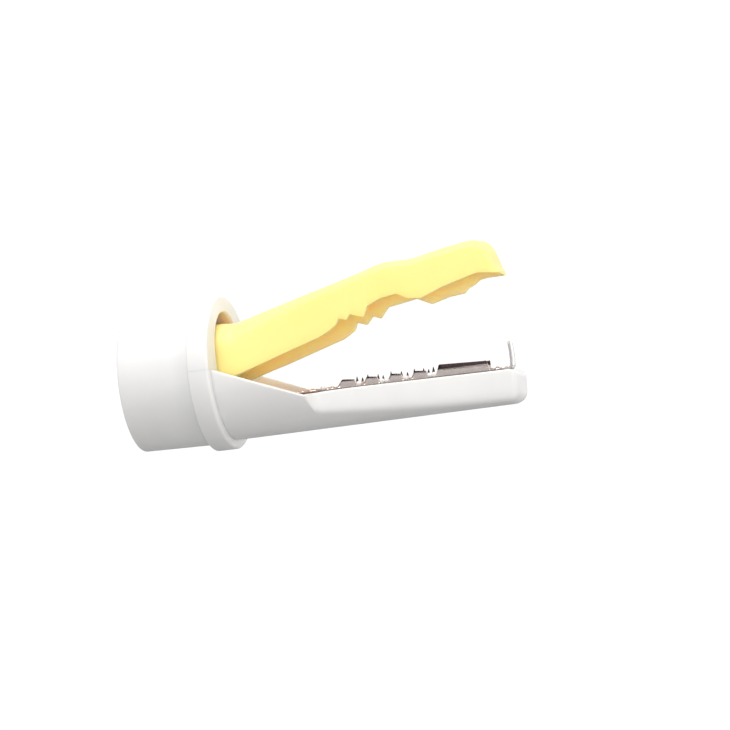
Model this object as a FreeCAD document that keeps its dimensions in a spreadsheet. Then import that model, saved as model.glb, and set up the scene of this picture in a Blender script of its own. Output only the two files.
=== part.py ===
import FreeCAD, Part
import math
import os

import Sketcher

# Jaw head of a wire-twisting tool, in millimetres.
# +X runs along the tool from the handle socket to the jaw tip, +Z is the way the upper jaw opens, and Y is
# across the tool. The origin is the centre of the handle socket's mouth. The upper jaw is drawn open.

SIZES = {
    # housing
    "body_length": 17.0,  # socket mouth to the collar's front face
    "tube_radius": 12.1,
    "tube_flare": 0.25,  # growth of the tube's radius towards the collar
    "bore_radius": 11.0,
    "socket_depth": 4.0,
    "seat_radius": 10.8,  # seat of the bulkhead, behind the rib
    "front_radius": 10.95,  # inside of the tube ahead of the rib
    "bulkhead_thick": 1.4,
    "rib_thick": 0.8,
    "rib_radius": 10.2,
    "collar_radius": 13.5,
    "collar_length": 3.8,
    "spigot_radius": 10.85,
    "spigot_back": 6.3,
    "parting": 0.2,  # height of the plane where the collar's halves meet
    "slot_half": 7.65,  # half width of the arched slot
    "arch_height": 2.9,  # height of the arch's centre
    "cheek_half": 7.1,  # half width of the space between the spigot's cheeks
    "space_floor": 8.2,  # depth of the hinge space's floor under the axis
    # hinge
    "pivot_back": 8.0,  # pivot to the collar's front face
    "pin_radius": 1.25,
    "pin_half": 9.3,
    "bush_radius": 2.0,
    "flange_radius": 2.6,
    "flange_thick": 0.25,
    "running_gap": 0.05,
    # lower jaw
    "jaw_radius": 12.0,
    "jaw_wall": 1.15,
    "shoulder": 15.5,  # length of the sloped shoulder
    "jaw_length": 52.25,
    "rim_root": 5.56,  # depth of the rim under the axis, at the root and at the tip
    "rim_tip": 5.56,
    "jaw_half_root": 7.5,
    "jaw_half_tip": 4.0,
    "sole_rise": 0.5,  # how much the jaw's underside rises to the tip
    # upper jaw
    "lever_half": 7.2,  # half width at the collar's face
    "lever_taper": 0.071,  # loss of half width per millimetre
    "lever_wall": 0.9,
    "lever_top": 1.0,
    "lever_end": 50.7,
    "ear_half": 6.6,  # half width between the cheeks
    "hub_radius": 2.8,
    "ear_wall": 1.2,
    "edge_slope": 0.31,  # slope of the straight lower edge while the jaw is open
    # metal strip
    "sheet": 0.4,
    "strip_start": 13.0,
    "strip_half": 4.5,
    "strip_taper": 0.056,
    "strip_lift": 0.0,  # underside of the strip above the rim
    "tooth_rise": 1.6,  # tooth tops above the rim
    "prong_rise": 5.0,  # prong's tip above the rim
    "prong_front": 51.1,
    "rivet_radius": 0.7,
    # fasteners and drive
    "screw_radius": 0.75,
    "screw_y": 8.5,
    "screw_rise": 2.7,  # screws above and below the parting plane
    "screw_head": 1.4,
    "hex_flats": 6.35,
}

# The lands of the near tooth row, each from start to end of its flat top, counted from the collar's face.
LANDS = [(21.5, 23.2), (25.8, 27.2), (30.1, 31.5), (34.3, 36.0), (38.7, 46.8)]
RIVETS = [17.0, 28.6, 44.0]

# Upper jaw's roof, counted from the collar's face: place, height, corner radius. It steps down where it
# passes through the slot, swells behind the nose and rounds over at the nose.
ROOF = [
    (-10.4, 3.0, 2.2),
    (-7.0, 6.8, 3.0),
    (-3.8, 8.2, 4.4),
    (0.2, 8.4, 4.6),
    (2.8, 8.1, 4.6),
    (4.3, 8.45, 3.6),
    (15.8, 11.4, 1.9),
    (20.0, 12.45, 1.7),
    (25.8, 14.05, 1.6),
    (29.0, 15.05, 1.6),
    (30.7, 15.45, 1.6),
    (35.6, 15.5, 1.6),
    (40.6, 16.55, 1.6),
    (45.6, 17.45, 1.6),
    (47.0, 17.4, 1.6),
    (48.2, 16.8, 1.6),
    (49.1, 15.7, 1.6),
    (50.7, 11.1, 1.6),
]

# Upper jaw's gripping edges, counted from the collar's face: place, and rise above the straight edge. The
# far wall's edge is cut lower than the near wall's, with its own steps.
NEAR_GRIP = [
    (18.5, 0.15),
    (20.0, 0.4),
    (21.5, 1.0),
    (22.0, 1.8),
    (23.4, 0.95),
    (24.05, 1.7),
    (25.0, 1.0),
    (26.4, 0.2),
    (26.9, 1.05),
    (27.25, 1.75),
    (29.7, 2.05),
    (32.6, 1.6),
    (34.5, 0.0),
    (36.8, -1.0),
    (40.6, -0.7),
    (47.0, -0.9),
    (50.8, -2.5),
    (52.1, -3.5),
]
FAR_GRIP = [
    (4.0, -0.1),
    (9.2, -0.35),
    (19.8, -0.55),
    (21.9, 0.05),
    (22.4, 1.15),
    (24.2, 0.0),
    (25.4, 0.95),
    (26.9, -0.05),
    (28.4, 1.25),
    (33.8, 0.45),
    (36.5, -1.65),
    (39.9, -1.85),
    (42.7, -2.45),
    (43.5, -1.9),
    (44.7, -1.8),
    (45.7, -1.4),
    (47.0, -1.6),
    (50.3, -2.6),
    (52.1, -3.5),
]

doc = FreeCAD.newDocument("twist_wire_head")
sheet = doc.addObject("Spreadsheet::Sheet", "sheet")
for row, (alias, value) in enumerate(SIZES.items(), start=1):
    sheet.set(f"A{row}", alias)
    sheet.set(f"B{row}", str(value))
    sheet.setAlias(f"B{row}", alias)
doc.recompute()

PLANES = {
    "XY": FreeCAD.Rotation(),
    "XZ": FreeCAD.Rotation(FreeCAD.Vector(1, 0, 0), 90),
    "YZ": FreeCAD.Rotation(FreeCAD.Vector(1, 1, 1), 120),
}
ALONG_X = FreeCAD.Rotation(FreeCAD.Vector(0, 1, 0), 90)
ALONG_Y = FreeCAD.Rotation(FreeCAD.Vector(1, 0, 0), -90)
SPACE = 60.0  # size of the blocks that cut away whole sides
SPACE_TEXT = str(SPACE)

face = "sheet.body_length"
pivot_x = "sheet.body_length - sheet.pivot_back"
nodes = {}


def size(alias):
    return sheet.get(alias)


def bind(item, **formulas):
    """Bind properties to formulas. A double underscore stands for a dot."""
    for name, formula in formulas.items():
        item.setExpression(name.replace("__", "."), formula)
    return item


def rod(name, radius, length, axis="X", at=("0", "0", "0")):
    """A cylinder along X or Y that starts at a place."""
    item = doc.addObject("Part::Cylinder", name)
    item.Placement = FreeCAD.Placement(FreeCAD.Vector(), ALONG_X if axis == "X" else ALONG_Y)
    places = dict(zip(("Placement__Base__x", "Placement__Base__y", "Placement__Base__z"), at))
    return bind(item, Radius=radius, Height=length, **places)


def taper(name, start_radius, end_radius, length, start="0"):
    """A cone along X."""
    item = doc.addObject("Part::Cone", name)
    item.Placement = FreeCAD.Placement(FreeCAD.Vector(), ALONG_X)
    bind(item, Radius1=start_radius, Radius2=end_radius, Height=length)
    return bind(item, Placement__Base__x=start)


def block(name, length, width, height, start, floor):
    """A box centred across the tool."""
    item = doc.addObject("Part::Box", name)
    bind(item, Length=length, Width=width, Height=height, Placement__Base__x=start)
    return bind(item, Placement__Base__y=f"-({width}) / 2", Placement__Base__z=floor)


def prism(name, plane, points, depth=SPACE):
    """A closed outline on an origin plane, extruded the same way on both sides of it.

    A coordinate is a number or a formula. Each corner is held by two dimensions.
    """
    sketch = doc.addObject("Sketcher::SketchObject", name + "_outline")
    sketch.Placement = FreeCAD.Placement(FreeCAD.Vector(), PLANES[plane])
    numbers = [tuple(number(value) for value in point) for point in points]
    for here, there in zip(numbers, numbers[1:] + numbers[:1]):
        line = Part.LineSegment(FreeCAD.Vector(*here, 0), FreeCAD.Vector(*there, 0))
        sketch.addGeometry(line)
    for i in range(len(points)):
        sketch.addConstraint(Sketcher.Constraint("Coincident", i, 2, (i + 1) % len(points), 1))
        for kind, value, place in zip(("DistanceX", "DistanceY"), points[i], numbers[i]):
            held = sketch.addConstraint(Sketcher.Constraint(kind, -1, 1, i, 1, place))
            if isinstance(value, str):
                sketch.setExpression(f"Constraints[{held}]", value)
    solid = doc.addObject("Part::Extrusion", name)
    solid.Base = sketch
    solid.DirMode = "Normal"
    solid.Solid = True
    solid.Symmetric = True
    bind(solid, LengthFwd=str(depth))
    return solid


def number(value):
    """The present value of a number or a formula of the sheet."""
    return float(sheet.evalExpression(value)) if isinstance(value, str) else float(value)


def fuse(name, *items):
    item = doc.addObject("Part::MultiFuse", name)
    item.Shapes = list(items)
    return item


def common(name, *items):
    item = doc.addObject("Part::MultiCommon", name)
    item.Shapes = list(items)
    return item


def cut(name, base, *tools):
    item = doc.addObject("Part::Cut", name)
    item.Base = base
    item.Tool = tools[0] if len(tools) == 1 else fuse(name + "_tools", *tools)
    return item


def node(name, item):
    """Name a finished sub-part."""
    item.Label = name
    nodes[name] = item
    return item


def mirrored(points):
    """A plan outline that is the same on both sides of the tool's centre line."""
    other = [(x, f"-({y})" if isinstance(y, str) else -y) for x, y in reversed(points)]
    return points + other


def ahead(distance):
    """A place counted from the collar's front face."""
    return f"sheet.body_length + {distance}" if distance >= 0 else f"sheet.body_length - {-distance}"


def rim(distance, rise=0.0):
    """Height of the lower jaw's rim, plus a rise, at a distance from the collar's face."""
    slope = "(sheet.rim_tip - sheet.rim_root) / (sheet.jaw_length - sheet.shoulder)"
    return f"-sheet.rim_root - {slope} * ({distance} - sheet.shoulder) + ({rise})"


def turned(name, outline):
    """A PartDesign body turned about X from an outline of place and radius."""
    body = doc.addObject("PartDesign::Body", name)
    sketch = body.newObject("Sketcher::SketchObject", name + "_section")
    planes = {f.Role: f for f in body.Origin.OriginFeatures}
    sketch.AttachmentSupport = [(planes["XZ_Plane"], "")]
    sketch.MapMode = "FlatFace"
    numbers = [tuple(number(value) for value in point) for point in outline]
    for here, there in zip(numbers, numbers[1:] + numbers[:1]):
        sketch.addGeometry(Part.LineSegment(FreeCAD.Vector(*here, 0), FreeCAD.Vector(*there, 0)))
    for i in range(len(outline)):
        sketch.addConstraint(Sketcher.Constraint("Coincident", i, 2, (i + 1) % len(outline), 1))
        for kind, value, place in zip(("DistanceX", "DistanceY"), outline[i], numbers[i]):
            held = sketch.addConstraint(Sketcher.Constraint(kind, -1, 1, i, 1, place))
            if isinstance(value, str):
                sketch.setExpression(f"Constraints[{held}]", value)
    turn = body.newObject("PartDesign::Revolution", name + "_turn")
    turn.Profile = sketch
    turn.ReferenceAxis = (planes["X_Axis"], [""])
    turn.Angle = 360
    body.Tip = turn
    return body


def body_tube():
    rib_back = "sheet.socket_depth + sheet.bulkhead_thick"
    rib_front = rib_back + " + sheet.rib_thick"
    front = "sheet.body_length - sheet.collar_length"
    outline = [
        ("0.3", "sheet.tube_radius"),
        (front, "sheet.tube_radius + sheet.tube_flare"),
        (front, "sheet.front_radius"),
        (rib_front, "sheet.front_radius"),
        (rib_front, "sheet.rib_radius"),
        (rib_back, "sheet.rib_radius"),
        (rib_back, "sheet.seat_radius"),
        ("sheet.socket_depth", "sheet.seat_radius"),
        ("sheet.socket_depth", "sheet.bore_radius"),
        ("0", "sheet.bore_radius"),
        ("0", "sheet.tube_radius - 0.3"),
    ]
    node("body_tube", turned("body_tube", outline))


def screw_places():
    for side in (-1, 1):
        for level in (-1, 1):
            yield f"{side} * sheet.screw_y", f"sheet.parting + {level} * sheet.screw_rise"


def screw_shapes(name, gap=0.0, length="11.2 - sheet.socket_depth"):
    """Head and shank at each of the four screw places, grown by a gap for the holes."""
    for i, (y, z) in enumerate(screw_places()):
        at = ("sheet.socket_depth", y, z)
        head = rod(f"{name}_head_{i}", f"sheet.screw_head + {gap}", "sheet.bulkhead_thick / 2", at=at)
        shank = rod(f"{name}_shank_{i}", f"sheet.screw_radius + {gap}", length, at=at)
        yield fuse(f"{name}_{i}", head, shank)


def housing_screws():
    group = doc.addObject("Part::Compound", "screw_group")
    group.Links = list(screw_shapes("screw"))
    node("housing_screws", group)


def rear_bulkhead():
    front = ("sheet.socket_depth", "0", "0")
    disc = rod("bulkhead_disc", "sheet.seat_radius - 0.05", "sheet.bulkhead_thick", at=front)
    seat_start = ("sheet.socket_depth + sheet.bulkhead_thick - 0.8", "0", "0")
    plate_seat = rod("plate_seat", "6.5", "2", at=seat_start)
    holes = list(screw_shapes("bulkhead_hole"))
    node("rear_bulkhead", cut("bulkhead", disc, plate_seat, hex_drive("bulkhead_hex"), *holes))


def hex_drive(name):
    hexagon = doc.addObject("Part::Prism", name)
    hexagon.Polygon = 6
    hexagon.Placement = FreeCAD.Placement(FreeCAD.Vector(), ALONG_X)
    return bind(hexagon, Circumradius="sheet.hex_flats / sqrt(3)", Height="10")


def drive_plate():
    place = "sheet.socket_depth + sheet.bulkhead_thick - 0.8"
    disc = rod("plate_disc", "6.5", "0.8", at=(place, "0", "0"))
    node("drive_plate", cut("plate", disc, hex_drive("plate_hex")))


def jaw_region(name, inset):
    """Lower jaw forward of the collar, as the space inside its skin moved in by an inset."""
    start = "sheet.body_length - sheet.collar_length"
    length = f"sheet.collar_length + sheet.jaw_length - {inset}"
    radius = f"sheet.jaw_radius - {inset}"
    skin = taper(name + "_skin", radius, f"{radius} - sheet.sole_rise", length, start)
    root, tip = f"sheet.jaw_half_root - {inset}", f"sheet.jaw_half_tip - {inset}"
    half = [
        (start, "sheet.jaw_radius + 1"),
        (f"{face} + sheet.shoulder - 0.3 - {inset}", "sheet.jaw_radius + 1"),
        (f"{face} + sheet.shoulder + 0.9 - {inset}", root),
        (f"{face} + sheet.jaw_length - 1 - {inset}", tip),
        (f"{face} + sheet.jaw_length - 0.3 - {inset}", f"{tip} - 0.3"),
        (f"{face} + sheet.jaw_length - {inset}", f"{tip} - 1"),
    ]
    plan = prism(name + "_plan", "XY", mirrored(half))
    return common(name, skin, plan)


def jaw_body():
    start = "sheet.body_length - sheet.collar_length"
    tip = f"{face} + sheet.jaw_length"
    side = [
        (start, -20),
        (start, "sheet.parting"),
        (face, "sheet.parting"),
        (f"{face} + sheet.shoulder", "-sheet.rim_root - 0.42"),
        (f"{face} + sheet.shoulder + 2", "-sheet.rim_root - 0.18"),
        (f"{face} + sheet.shoulder + 5.5", "-sheet.rim_root"),
        (f"{tip} - 1.5", "-sheet.rim_tip"),
        (f"{tip} - 0.44", "-sheet.rim_tip - 0.44"),
        (tip, "-sheet.rim_tip - 1.5"),
        (tip, "-sheet.jaw_radius + 2.2"),
        (f"{tip} - 0.5", "-sheet.jaw_radius + 1"),
        (f"{tip} - 1.9", "-sheet.jaw_radius + 0.28"),
        (f"{tip} - 6", -20),
    ]
    outside = common("jaw_outside", jaw_region("jaw_outer", 0), prism("jaw_side", "XZ", side))
    trough = jaw_region("jaw_inner", "sheet.jaw_wall")
    ahead_only = block("ahead_block", SPACE_TEXT, SPACE_TEXT, SPACE_TEXT, face, f"-{SPACE / 2}")
    shell = cut("jaw_shell", outside, common("jaw_trough", trough, ahead_only))
    collar = common("lower_collar", collar_disc("lower_disc"), below_parting("below_collar"))
    spigot = common("lower_spigot", spigot_disc("lower_spigot_disc"), below_parting("below_spigot"))
    moulding = fuse("jaw_moulding", shell, collar, spigot, strip_rail(), stop_pedestal_block())
    space = hinge_space("jaw_space", "-sheet.space_floor")
    hollow = cut("hinge_hollow", space, stop_pedestal("pedestal_left"))
    holes = [pin_shape("jaw_saddle", 0), *screw_shapes("jaw_hole"), *rivet_shanks("jaw_rivet")]
    node("jaw_body", cut("jaw", moulding, hollow, *holes))


def collar_disc(name):
    start = ("sheet.body_length - sheet.collar_length", "0", "0")
    return rod(name, "sheet.collar_radius", "sheet.collar_length", at=start)


def spigot_disc(name):
    length = "sheet.body_length - sheet.collar_length - sheet.spigot_back"
    return rod(name, "sheet.spigot_radius", length, at=("sheet.spigot_back", "0", "0"))


def below_parting(name):
    return block(name, SPACE_TEXT, SPACE_TEXT, SPACE_TEXT, "0", f"sheet.parting - {SPACE}")


def above_parting(name):
    return block(name, SPACE_TEXT, SPACE_TEXT, SPACE_TEXT, "0", "sheet.parting")


def hinge_space(name, floor):
    """The space that the lever's ears swing in: narrow between the cheeks, wider through the collar."""
    start = "sheet.spigot_back - 1"
    back_end = "sheet.body_length - sheet.collar_length"
    narrow = block(name + "_narrow", f"{back_end} - ({start})", "2 * sheet.cheek_half", "30", start, floor)
    wide = block(name + "_wide", "sheet.collar_length", "2 * sheet.slot_half", "30", back_end, floor)
    return fuse(name, narrow, wide)


def stop_pedestal(name):
    """The rib that carries the stop pad, on the floor of the hinge space."""
    return block(name, "2.2", "12.6", "20", "sheet.spigot_back", "-3.4 - 20")


def stop_pedestal_block():
    return common("pedestal", stop_pedestal("pedestal_right"), spigot_disc("pedestal_round"))


def stop_pad():
    place = "sheet.spigot_back + 0.15"
    node("stop_pad", block("pad", "1.85", "12.4", "3.4 + sheet.parting - sheet.hub_radius", place, "-3.4"))


def strip_rail():
    """The rail that carries the metal strip along the middle of the trough."""
    narrower = "sheet.strip_half - 0.5"
    half = [
        (f"{face} + sheet.strip_start", narrower),
        (f"{face} + sheet.prong_front - 0.4", f"{narrower} - 37.6 * sheet.strip_taper"),
    ]
    plan = prism("rail_plan", "XY", mirrored(half))
    side = [
        (f"{face} + sheet.strip_start", "-sheet.jaw_radius + 0.6"),
        (f"{face} + sheet.strip_start", rim("sheet.strip_start", "sheet.strip_lift")),
        (f"{face} + sheet.prong_front", rim("sheet.prong_front", "sheet.strip_lift")),
        (f"{face} + sheet.prong_front", "-sheet.jaw_radius + 0.9"),
    ]
    return common("strip_rail", plan, prism("rail_side", "XZ", side))


def pin_shape(name, gap):
    at = (pivot_x, "-sheet.pin_half", "sheet.parting")
    return rod(name, f"sheet.pin_radius + {gap}", "2 * sheet.pin_half", "Y", at)


def pivot_pin():
    node("pivot_pin", pin_shape("pin", 0))


def arch(name, length, start):
    """The collar's slot: straight sides under a half-round top."""
    top = rod(name + "_round", "sheet.slot_half", length, at=(start, "0", "sheet.arch_height"))
    foot = block(name + "_foot", length, "2 * sheet.slot_half", "sheet.arch_height + 5", start, "-5")
    return fuse(name, top, foot)


def collar_cap():
    collar = common("upper_collar", collar_disc("upper_disc"), above_parting("above_collar"))
    spigot = common("upper_spigot", spigot_disc("upper_spigot_disc"), above_parting("above_spigot"))
    slot = arch("slot", "sheet.collar_length + 1", "sheet.body_length - sheet.collar_length")
    start = "sheet.spigot_back - 1"
    length = f"sheet.body_length - sheet.collar_length - ({start})"
    space = block("cap_space", length, "2 * sheet.cheek_half", "30", start, "-5")
    moulding = fuse("cap_moulding", collar, spigot)
    holes = [pin_shape("cap_saddle", 0), *screw_shapes("cap_hole")]
    node("collar_cap", cut("cap", moulding, slot, space, *holes))


def ring(name, outer, inner, length, start_y):
    """A ring on the pivot axis."""
    at = (pivot_x, start_y, "sheet.parting")
    bore = rod(name + "_bore", inner, length, "Y", at)
    return cut(name, rod(name + "_solid", outer, length, "Y", at), bore)


def lever_bush(side, start_body, start_flange):
    bore = "sheet.pin_radius + sheet.running_gap"
    barrel = ring(f"bush_{side}_barrel", "sheet.bush_radius", bore, "sheet.ear_wall", start_body)
    flange = ring(f"bush_{side}_flange", "sheet.flange_radius", bore, "sheet.flange_thick", start_flange)
    node(f"lever_bush_{side}", fuse(f"bush_{side}", barrel, flange))


def spring_sleeve():
    bore = "sheet.pin_radius + sheet.running_gap"
    half = "(sheet.ear_half - sheet.ear_wall - 0.2)"
    node("spring_sleeve", ring("sleeve", "sheet.bush_radius", bore, f"2 * {half}", f"-{half}"))


def torsion_spring():
    """A coil round the sleeve with one leg on the hinge space's floor and one under the lever's roof."""
    wire, turns, pitch = 0.3, 7, 0.9
    radius = size("bush_radius") + 0.1 + wire
    x, z = size("body_length") - size("pivot_back"), size("parting")
    half = turns * pitch / 2
    coil = Part.makeHelix(pitch, turns * pitch, radius)
    section = Part.Wire(Part.makeCircle(wire, FreeCAD.Vector(radius, 0, 0), FreeCAD.Vector(0, 1, 0)))
    solid = Part.Wire(coil).makePipeShell([section], True, True)
    # the coil starts and ends at the front of the hinge, where the legs leave it
    solid.Placement = FreeCAD.Placement(FreeCAD.Vector(x, -half, z), ALONG_Y)
    upper_end = FreeCAD.Vector(x + radius, -half, z)
    lower_end = FreeCAD.Vector(x + radius, half, z)
    under_roof = FreeCAD.Vector(x + 8.2, -half, 6.6)
    on_floor = FreeCAD.Vector(x + 6.5, half, -7.7)
    for foot, end in ((upper_end, under_roof), (lower_end, on_floor)):
        solid = solid.fuse(Part.makeCylinder(wire, (end - foot).Length, foot, end - foot))
    item = doc.addObject("Part::Feature", "spring")
    item.Shape = solid
    node("torsion_spring", item)


def lever_section(place, half, top, corner, floor=-12.0):
    """One cross-section of the upper jaw: straight sides and a roof with rounded corners."""
    x = size("body_length") + place
    corners = [(-half, floor), (-half, top - corner), (-half + corner, top)]
    corners += [(half - corner, top), (half, top - corner), (half, floor)]
    spots = [FreeCAD.Vector(x, y, z) for y, z in corners]
    bend = corner * (1 - math.sqrt(0.5))
    left = FreeCAD.Vector(x, -half + bend, top - bend)
    right = FreeCAD.Vector(x, half - bend, top - bend)
    edges = [
        Part.LineSegment(spots[0], spots[1]),
        Part.Arc(spots[1], left, spots[2]),
        Part.LineSegment(spots[2], spots[3]),
        Part.Arc(spots[3], right, spots[4]),
        Part.LineSegment(spots[4], spots[5]),
        Part.LineSegment(spots[5], spots[0]),
    ]
    return Part.Wire([edge.toShape() for edge in edges])


def lever_half(place):
    """Half width of the upper jaw, which narrows behind the collar to fit between the cheeks."""
    if place > 0:
        return size("lever_half") - size("lever_taper") * place
    blend = min(1.0, -place / 3.8)
    return size("lever_half") + blend * (size("ear_half") - size("lever_half"))


def lever_loft(name, inset, roof, from_place, to_place):
    sections = []
    for place, top, corner in ROOF:
        at = min(max(place, from_place), to_place)
        if sections and at <= sections[-1][0]:
            continue
        sections.append((at, roof_height(at) - roof, max(corner - inset, 0.4)))
    wires = [lever_section(at, lever_half(at) - inset, top, corner) for at, top, corner in sections]
    item = doc.addObject("Part::Feature", name)
    item.Shape = Part.makeLoft(wires, True, True)
    return item


def roof_height(place):
    """Height of the roof between the places of its outline."""
    for (x0, z0, _), (x1, z1, _) in zip(ROOF, ROOF[1:]):
        if place <= x1:
            return z0 + (z1 - z0) * (place - x0) / (x1 - x0)
    return ROOF[-1][1]


def straight_edge(place):
    """Height of the upper jaw's straight lower edge."""
    return -1.2 + size("edge_slope") * (place - 2.6)


def lever_side(name, grip, tail):
    """Side outline of the upper jaw above a gripping edge."""
    lower = [(ahead(-10.4), tail), (ahead(-7.6), tail), (ahead(-5.0), straight_edge(-5.0))]
    lower += [(ahead(place), straight_edge(place) + rise) for place, rise in grip]
    return prism(name, "XZ", lower + [(ahead(54), 30), (ahead(-12), 30), (ahead(-12), tail)])


def upper_jaw():
    outer = lever_loft("lever_outer", 0.0, 0.0, -10.4, size("lever_end"))
    inner = lever_loft("lever_inner", size("lever_wall"), size("lever_top"), -9.2, size("lever_end") - 0.4)
    between_ears = "2 * (sheet.ear_half - sheet.ear_wall)"
    ears = block("ear_space", "6", between_ears, "12.2", f"{face} - 11", "-8")
    tail = "sheet.parting - sheet.hub_radius"
    near_outline = lever_side("near_outline", NEAR_GRIP, tail)
    far_outline = lever_side("far_outline", FAR_GRIP, tail)
    near = common("near_side", near_outline, half_space("near_of_centre", -1))
    far = common("far_side", far_outline, half_space("far_of_centre", 1))
    side = fuse("lever_side", near, far)
    hub_start = (pivot_x, "-sheet.ear_half", "sheet.parting")
    hub = rod("hub", "sheet.hub_radius", "2 * sheet.ear_half", "Y", hub_start)
    hole = rod("hub_hole", "sheet.bush_radius", "20", "Y", (pivot_x, "-10", "sheet.parting"))
    nose = [(-12, 9), (47.7, 9), (49.3, 3.4), (50.3, 2.75), (51, 1.9)]
    hollow = [(-12, 9), (47.3, 9), (48.8, 2.8), (49.7, 2.3), (50.4, 1.6)]
    nose, hollow = ([(ahead(place), half) for place, half in plan] for plan in (nose, hollow))
    body = common("lever_body", outer, side, prism("nose_plan", "XY", mirrored(nose)))
    space = common("lever_hollow", inner, prism("hollow_plan", "XY", mirrored(hollow)))
    shell = cut("lever_shell", body, space)
    node("upper_jaw", cut("lever", fuse("lever_blank", shell, hub), hole, ears))


def strip_half(place):
    return f"(sheet.strip_half - sheet.strip_taper * ({place} - sheet.strip_start))"


def strip_plan(name, inset):
    start, end = "sheet.strip_start", "sheet.prong_front"
    half = [
        (f"{face} + {start}", f"{strip_half(start)} - {inset}"),
        (f"{face} + {end}", f"{strip_half(end)} - {inset}"),
    ]
    return prism(name, "XY", mirrored(half))


def tooth_row():
    """Side outline of the near flange: a low edge with flat-topped teeth and one long land."""
    end = 49.4
    points = [(13.0, "sheet.strip_lift"), (13.0, 0.5)]
    for start, stop in LANDS:
        lead = 0.6 if (start, stop) == LANDS[-1] else 0.05
        points += [(start - 0.9, 0.7), (start, f"sheet.tooth_rise + {lead}")]
        points += [(stop, "sheet.tooth_rise - 0.1"), (stop + 0.4, 0.7)]
    points += [(end, 0.62), (end, "sheet.strip_lift")]
    return [(ahead(x), rim(x, rise)) for x, rise in points]


def spike_row():
    """Side outline of the far flange: a row of pointed teeth, then the same long land."""
    pitch, first, count, end = 2.1, 21.0, 8, 49.4
    points = [(13.0, "sheet.strip_lift"), (13.0, 0.5)]
    for i in range(count):
        start = first + i * pitch
        points += [(start, 0.9), (start + pitch / 2, "sheet.tooth_rise + 1.0")]
    start, stop = LANDS[-1]
    points += [(start - 0.8, 0.9), (start, "sheet.tooth_rise + 0.9"), (stop, "sheet.tooth_rise + 0.3")]
    points += [(stop + 0.5, 0.7), (end, 0.62), (end, "sheet.strip_lift")]
    return [(ahead(x), rim(x, rise)) for x, rise in points]


def half_space(name, side):
    item = block(name, SPACE_TEXT + " * 2", SPACE_TEXT, SPACE_TEXT, "0", f"-{SPACE / 2}")
    return bind(item, Placement__Base__y="0" if side > 0 else f"-{SPACE}")


def blade_strip():
    walls = cut("strip_walls", strip_plan("strip_outer", "0"), strip_plan("strip_inner", "sheet.sheet"))
    near = common("near_flange", walls, prism("near_side", "XZ", tooth_row()), half_space("near_half", -1))
    far = common("far_flange", walls, prism("far_side", "XZ", spike_row()), half_space("far_half", 1))
    start, end = "sheet.strip_start", "sheet.prong_front"
    band = [
        (f"{face} + {start}", rim(start, "sheet.strip_lift")),
        (f"{face} + {start}", rim(start, "sheet.strip_lift + sheet.sheet")),
        (f"{face} + {end}", rim(end, "sheet.strip_lift + sheet.sheet")),
        (f"{face} + {end}", rim(end, "sheet.strip_lift")),
    ]
    floor = common("strip_floor", strip_plan("floor_plan", "0"), prism("floor_side", "XZ", band))
    foot, tip = rim(end, "sheet.strip_lift"), rim(end, "sheet.prong_rise")
    prong_face = prism("prong_face", "YZ", [(-1.15, foot), (-0.8, tip), (0.8, tip), (1.15, foot)], 300)
    slab_start = f"{face} + {end} - sheet.sheet - 0.05"
    prong_slab = block("prong_slab", "sheet.sheet + 0.05", "4", "20", slab_start, "-10")
    prong = common("prong", prong_face, prong_slab)
    solid = fuse("strip_solid", near, far, floor, prong)
    node("blade_strip", cut("strip", solid, *rivet_shanks("strip_hole")))


def rivet_shanks(name):
    for i, place in enumerate(RIVETS):
        height = rim(place, "sheet.strip_lift - 2.6")
        yield upright(f"{name}_{i}", "sheet.rivet_radius", "2.6 + sheet.sheet", place, height)


def upright(name, radius, length, place, floor):
    item = doc.addObject("Part::Cylinder", name)
    bind(item, Radius=radius, Height=length)
    return bind(item, Placement__Base__x=ahead(place), Placement__Base__z=floor)


def strip_rivets():
    group = doc.addObject("Part::Compound", "rivet_group")
    heads = []
    for i, place in enumerate(RIVETS):
        top = rim(place, "sheet.strip_lift + sheet.sheet + 0.03")
        heads.append(upright(f"rivet_head_{i}", "1.15", "0.4", place, top))
    shanks = list(rivet_shanks("rivet_shank"))
    for shank in shanks:
        bind(shank, Height="2.7 + sheet.sheet")
    group.Links = [fuse(f"rivet_{i}", head, shank) for i, (head, shank) in enumerate(zip(heads, shanks))]
    node("strip_rivets", group)


def write_parts():
    doc.recompute()
    for item in doc.Objects:
        if "Invalid" in item.State or "Error" in item.State:
            raise RuntimeError(f"{item.Name} failed: {item.State}")
    for name, item in nodes.items():
        shape = item.Shape
        if shape.isNull() or not shape.isValid() or not shape.Solids:
            raise RuntimeError(f"{name} has no sound solid")
    os.makedirs("parts", exist_ok=True)
    for name, item in nodes.items():
        item.Shape.exportStep(f"parts/{name}.step")
        box = item.Shape.BoundBox
        print(f"{name}: {item.Shape.Volume:.1f} mm3, X {box.XMin:.1f}..{box.XMax:.1f}")


body_tube()
jaw_body()
collar_cap()
rear_bulkhead()
drive_plate()
housing_screws()
pivot_pin()
lever_bush("left", "sheet.ear_half - sheet.ear_wall", "sheet.ear_half")
lever_bush("right", "-sheet.ear_half", "-sheet.ear_half - sheet.flange_thick")
spring_sleeve()
torsion_spring()
stop_pad()
upper_jaw()
blade_strip()
strip_rivets()
write_parts()
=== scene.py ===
import math

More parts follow.
